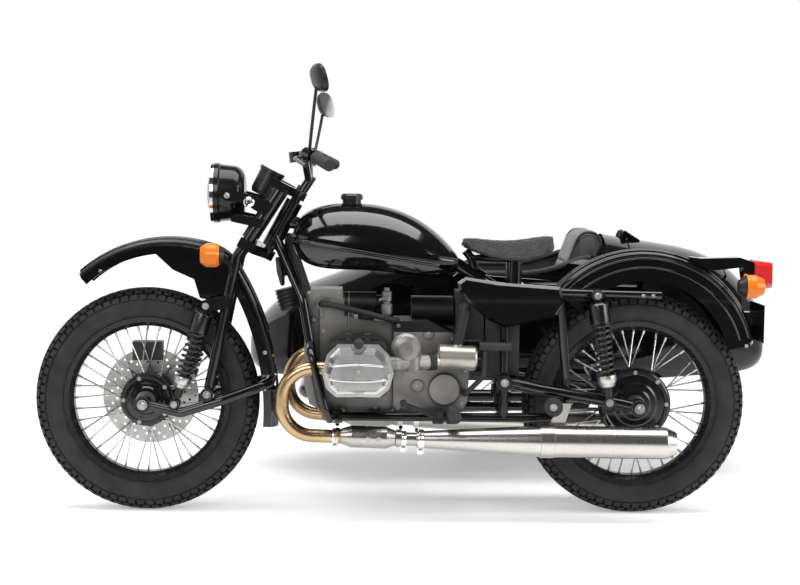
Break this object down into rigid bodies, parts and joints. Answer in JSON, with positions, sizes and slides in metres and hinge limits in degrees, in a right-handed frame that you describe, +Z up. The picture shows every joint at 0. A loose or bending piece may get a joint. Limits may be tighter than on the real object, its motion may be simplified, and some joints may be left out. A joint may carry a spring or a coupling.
{
  "type": "sidecar motorcycle",
  "caption": "Flat-twin motorcycle with leading-link fork, wire wheels, sprung solo saddle and a tub sidecar on its right, with a hinged boot lid.",
  "frame": {"origin": "middle of the outfit on the ground", "axes": "+X forward, +Y to the rider's left, +Z up"},
  "size_m": [2.383, 1.65, 1.3605],
  "materials": {
    "black_paint": "gloss",
    "engine_alloy": "cast, satin",
    "polished_alloy": "polished",
    "light_alloy": "satin",
    "tinted_steel": "heat tinted",
    "bright_steel": "polished",
    "chrome": "polished",
    "black_plastic": "satin",
    "rubber": "matte",
    "tyre": "matte",
    "rim": "gloss rim with bright spokes",
    "leather": "embossed",
    "upholstery": "two-tone",
    "red_lens": "clear red",
    "amber_lens": "clear amber",
    "clear_lens": "clear"
  },
  "bodies": {
    "chassis": {"frame": "black_paint", "crankcase": "engine_alloy", "gearbox": "engine_alloy", "cylinders": "engine_alloy", "rocker_covers": "polished_alloy", "carburettors": "engine_alloy", "intake_canisters": "light_alloy", "air_and_battery_boxes": "black_plastic", "exhaust_headers": "tinted_steel", "mufflers": "bright_steel", "fuel_tank": "black_paint", "tank_cap": "chrome", "saddle": "leather", "saddle_bracket": "black_paint", "side_panels": "black_paint", "rear_fender": "black_paint", "tail_bracket": "black_paint", "tail_lens": "red_lens", "rear_blinkers": "amber_lens", "plate_bracket": "black_paint", "swingarm": "black_paint", "rear_shocks": "black_paint", "final_drive": "engine_alloy", "foot_controls": "rubber", "leg_guard": "black_paint", "sidecar_tub": "black_paint", "sidecar_seat": "upholstery", "sidecar_backrest": "upholstery", "sidecar_frame": "black_paint", "sidecar_struts": "black_paint", "sidecar_arm": "black_paint", "sidecar_shock": "black_paint", "sidecar_fender": "black_paint"},
    "steering_head": {"fork": "black_paint", "link_arm": "black_paint", "front_shocks": "black_paint", "front_fender": "black_paint", "brake_caliper": "black_plastic", "headlamp": "black_paint", "headlamp_lens": "clear_lens", "gauge": "black_plastic", "handlebar": "black_paint", "grips": "rubber", "mirrors": "black_plastic", "front_blinkers": "amber_lens"},
    "wheel_front": {"front_tyre": "tyre", "front_wheel": "rim", "front_disc": "bright_steel"},
    "wheel_rear": {"rear_tyre": "tyre", "rear_wheel": "rim"},
    "wheel_sidecar": {"sidecar_tyre": "tyre", "sidecar_wheel": "rim"},
    "lid": {"boot_lid": "black_paint"}
  },
  "joints": [
    {"name": "steering", "type": "hinge", "parent": "chassis", "child": "steering_head", "pos_m": [0.43434, 0.418, 0.888], "axis": [-0.4695, 0, 0.8829], "range_deg": [-38, 38]},
    {"name": "front_wheel_turn", "type": "hinge", "parent": "steering_head", "child": "wheel_front", "pos_m": [0.8465, 0.418, 0.345], "axis": [0, 1, 0], "continuous": true},
    {"name": "rear_wheel_turn", "type": "hinge", "parent": "chassis", "child": "wheel_rear", "pos_m": [-0.6565, 0.418, 0.345], "axis": [0, 1, 0], "continuous": true},
    {"name": "sidecar_wheel_turn", "type": "hinge", "parent": "chassis", "child": "wheel_sidecar", "pos_m": [-0.3765, -0.722, 0.345], "axis": [0, 1, 0], "continuous": true},
    {"name": "boot_lid_hinge", "type": "hinge", "parent": "chassis", "child": "lid", "pos_m": [-0.7225, -0.292, 0.842], "axis": [0, 1, 0], "range_deg": [0, 75]}
  ]
}
